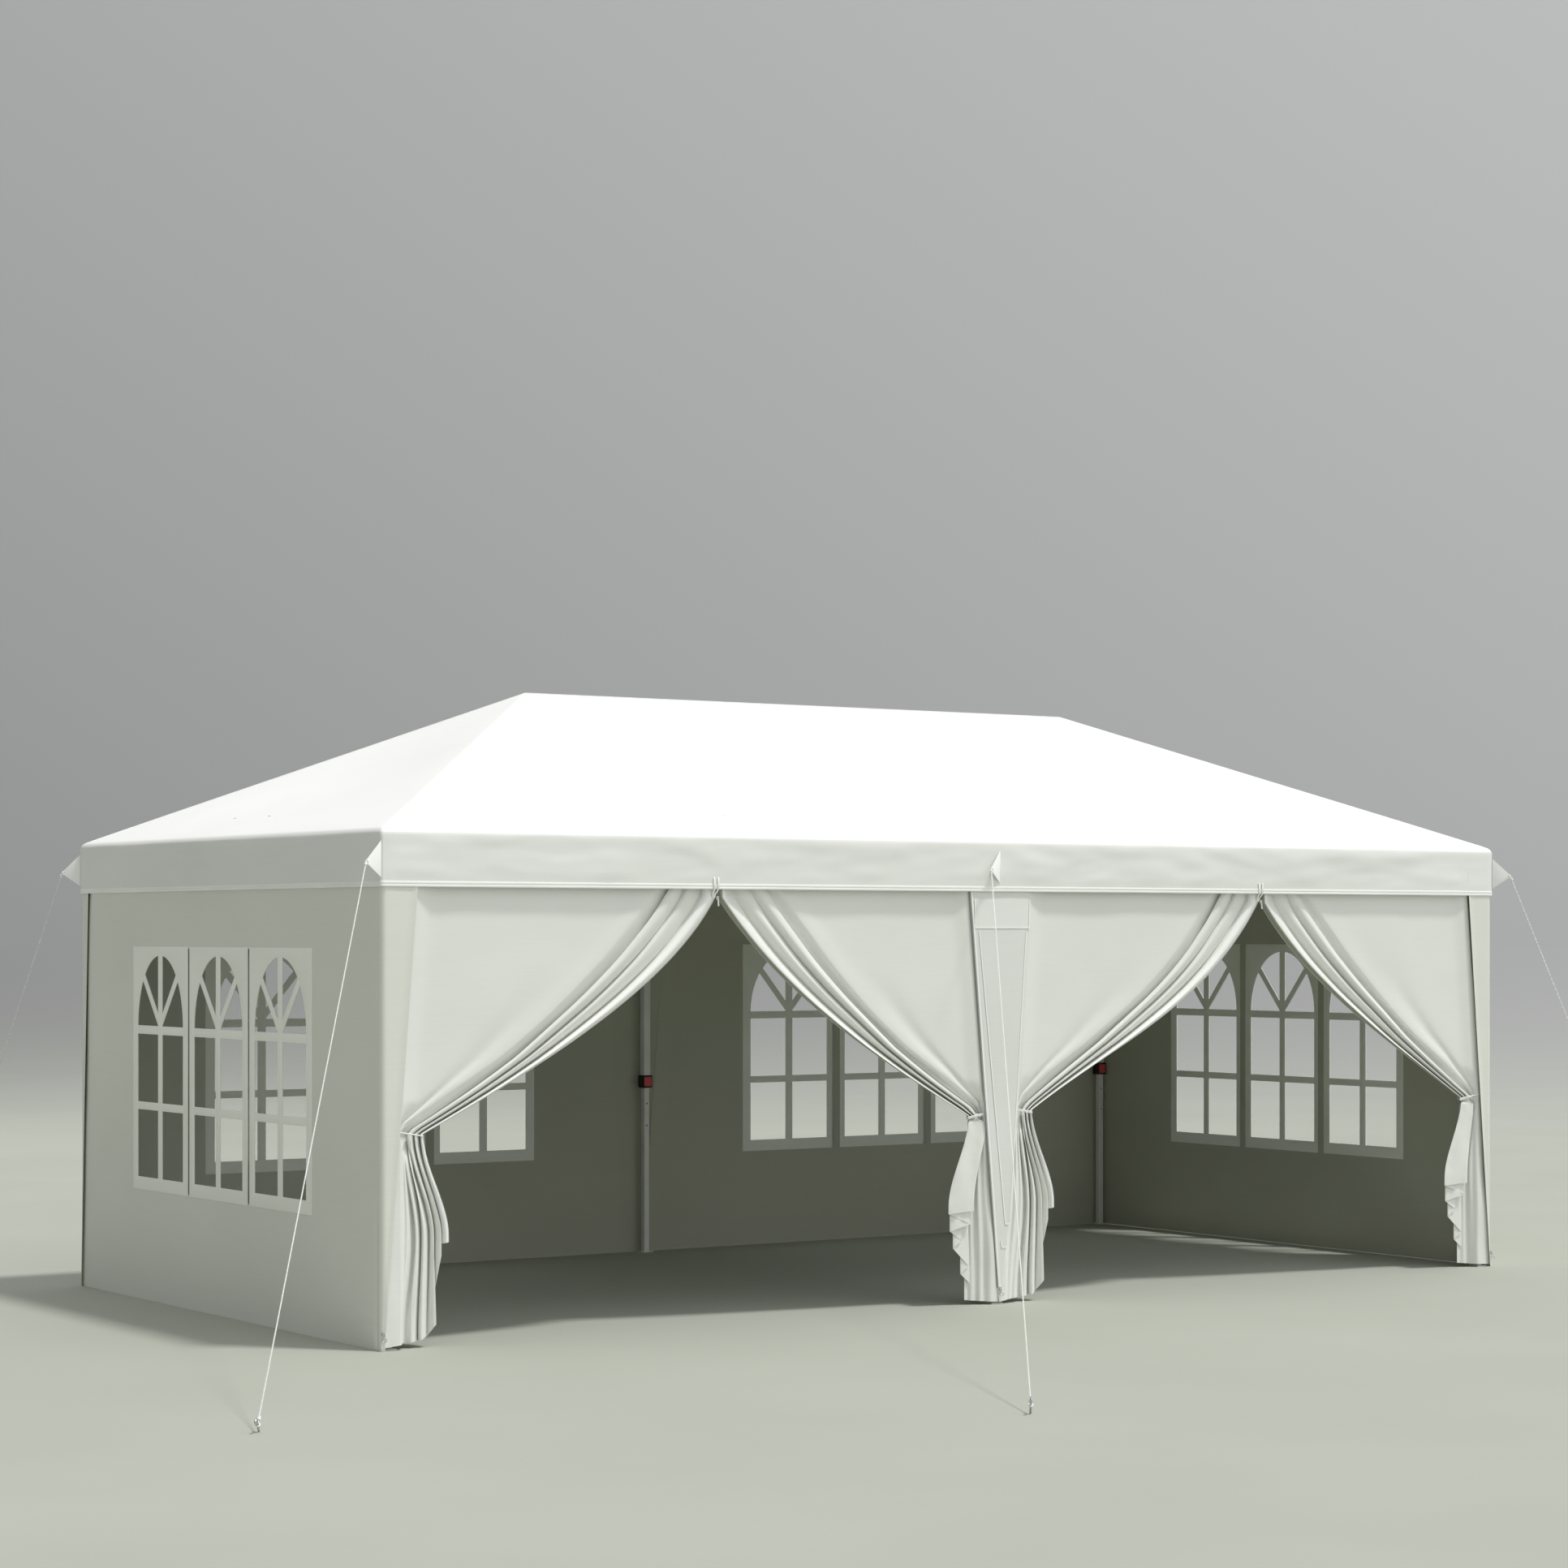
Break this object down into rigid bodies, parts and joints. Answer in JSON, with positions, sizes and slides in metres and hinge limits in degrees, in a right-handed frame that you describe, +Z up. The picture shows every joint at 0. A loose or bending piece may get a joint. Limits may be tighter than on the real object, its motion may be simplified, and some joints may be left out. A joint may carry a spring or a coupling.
{
  "type": "marquee tent",
  "caption": "White pop-up party tent with a hipped roof, telescopic legs, arched vinyl windows, tied-back door curtains and taut guy ropes.",
  "frame": {"origin": "on the ground at the middle of the tent", "axes": "+X along the tent to its right end, -Y to the front with the doorways, +Z up"},
  "size_m": [8.5176, 8.3464, 2.63],
  "materials": {
    "canopy_cloth": "white woven polyester with a coated back",
    "wall_cloth": "white woven polyester, thinner than the roof",
    "window_vinyl": "clear flexible vinyl",
    "white_steel": "white powder coat on square tube",
    "galvanised_steel": "zinc-plated rod",
    "guy_rope": "white braided polyester"
  },
  "bodies": {
    "tent": {"back_left_guy_rope": "guy_rope", "back_left_leg_outer": "white_steel", "back_left_peg": "galvanised_steel", "back_left_truss": "white_steel", "back_left_wall": "wall_cloth", "back_left_window_vinyl": "window_vinyl", "back_middle_guy_rope": "guy_rope", "back_middle_leg_outer": "white_steel", "back_middle_peg": "galvanised_steel", "back_middle_strip": "wall_cloth", "back_right_guy_rope": "guy_rope", "back_right_leg_outer": "white_steel", "back_right_peg": "galvanised_steel", "back_right_truss": "white_steel", "back_right_wall": "wall_cloth", "back_right_window_vinyl": "window_vinyl", "canopy": "canopy_cloth", "front_left_guy_rope": "guy_rope", "front_left_leg_outer": "white_steel", "front_left_peg": "galvanised_steel", "front_left_truss": "white_steel", "front_middle_guy_rope": "guy_rope", "front_middle_leg_outer": "white_steel", "front_middle_peg": "galvanised_steel", "front_middle_strip": "wall_cloth", "front_right_guy_rope": "guy_rope", "front_right_leg_outer": "white_steel", "front_right_peg": "galvanised_steel", "front_right_truss": "white_steel", "left_door_left_curtain": "wall_cloth", "left_door_right_curtain": "wall_cloth", "left_end_truss": "white_steel", "left_end_wall": "wall_cloth", "left_end_window_vinyl": "window_vinyl", "left_peak_frame": "white_steel", "middle_truss": "white_steel", "right_door_left_curtain": "wall_cloth", "right_door_right_curtain": "wall_cloth", "right_end_truss": "white_steel", "right_end_wall": "wall_cloth", "right_end_window_vinyl": "window_vinyl", "right_peak_frame": "white_steel"},
    "front_left_leg": {"front_left_leg_inner": "white_steel"},
    "front_middle_leg": {"front_middle_leg_inner": "white_steel"},
    "front_right_leg": {"front_right_leg_inner": "white_steel"},
    "back_left_leg": {"back_left_leg_inner": "white_steel"},
    "back_middle_leg": {"back_middle_leg_inner": "white_steel"},
    "back_right_leg": {"back_right_leg_inner": "white_steel"}
  },
  "joints": [
    {"name": "front_left_leg_slide", "type": "slide", "parent": "tent", "child": "front_left_leg", "axis": [0, 0, 1], "range_m": [0, 0.218]},
    {"name": "front_middle_leg_slide", "type": "slide", "parent": "tent", "child": "front_middle_leg", "axis": [0, 0, 1], "range_m": [0, 0.218]},
    {"name": "front_right_leg_slide", "type": "slide", "parent": "tent", "child": "front_right_leg", "axis": [0, 0, 1], "range_m": [0, 0.218]},
    {"name": "back_left_leg_slide", "type": "slide", "parent": "tent", "child": "back_left_leg", "axis": [0, 0, 1], "range_m": [0, 0.218]},
    {"name": "back_middle_leg_slide", "type": "slide", "parent": "tent", "child": "back_middle_leg", "axis": [0, 0, 1], "range_m": [0, 0.218]},
    {"name": "back_right_leg_slide", "type": "slide", "parent": "tent", "child": "back_right_leg", "axis": [0, 0, 1], "range_m": [0, 0.218]}
  ]
}
